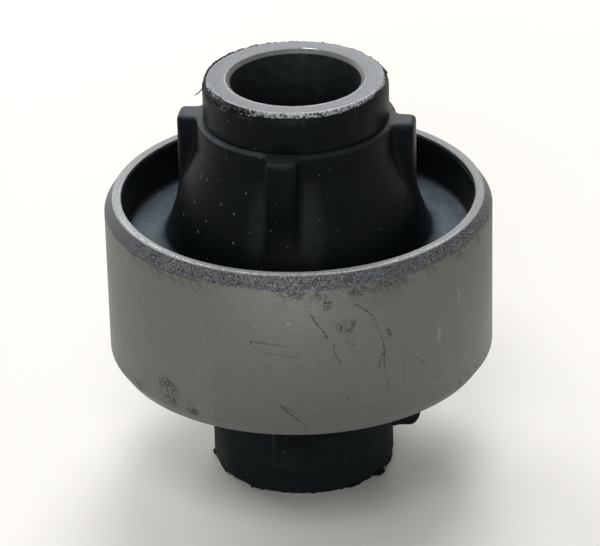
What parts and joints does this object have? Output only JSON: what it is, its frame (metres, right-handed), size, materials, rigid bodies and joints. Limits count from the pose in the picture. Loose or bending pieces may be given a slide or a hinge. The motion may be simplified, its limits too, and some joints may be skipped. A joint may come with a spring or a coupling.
{
  "type": "rubber metal bush",
  "caption": "Bonded rubber bush with a thick steel inner sleeve, a short wide steel outer sleeve, a bell-shaped rubber body and stop lugs at both ends.",
  "frame": {"origin": "centre of the bush, on the bore's axis, midway between the end faces", "axes": "+Z along the bore, upwards as it stands in the picture; +X and +Y through two of the stop lugs"},
  "size_m": [0.06, 0.06, 0.0654],
  "materials": {
    "outer_steel": "dull grey phosphate coat with light handling scratches",
    "inner_steel": "satin, end faces turned",
    "rubber": "smooth moulded, slightly dusty"
  },
  "bodies": {
    "root": {"outer_sleeve": "outer_steel", "inner_sleeve": "inner_steel", "rubber_body": "rubber"}
  },
  "joints": []
}
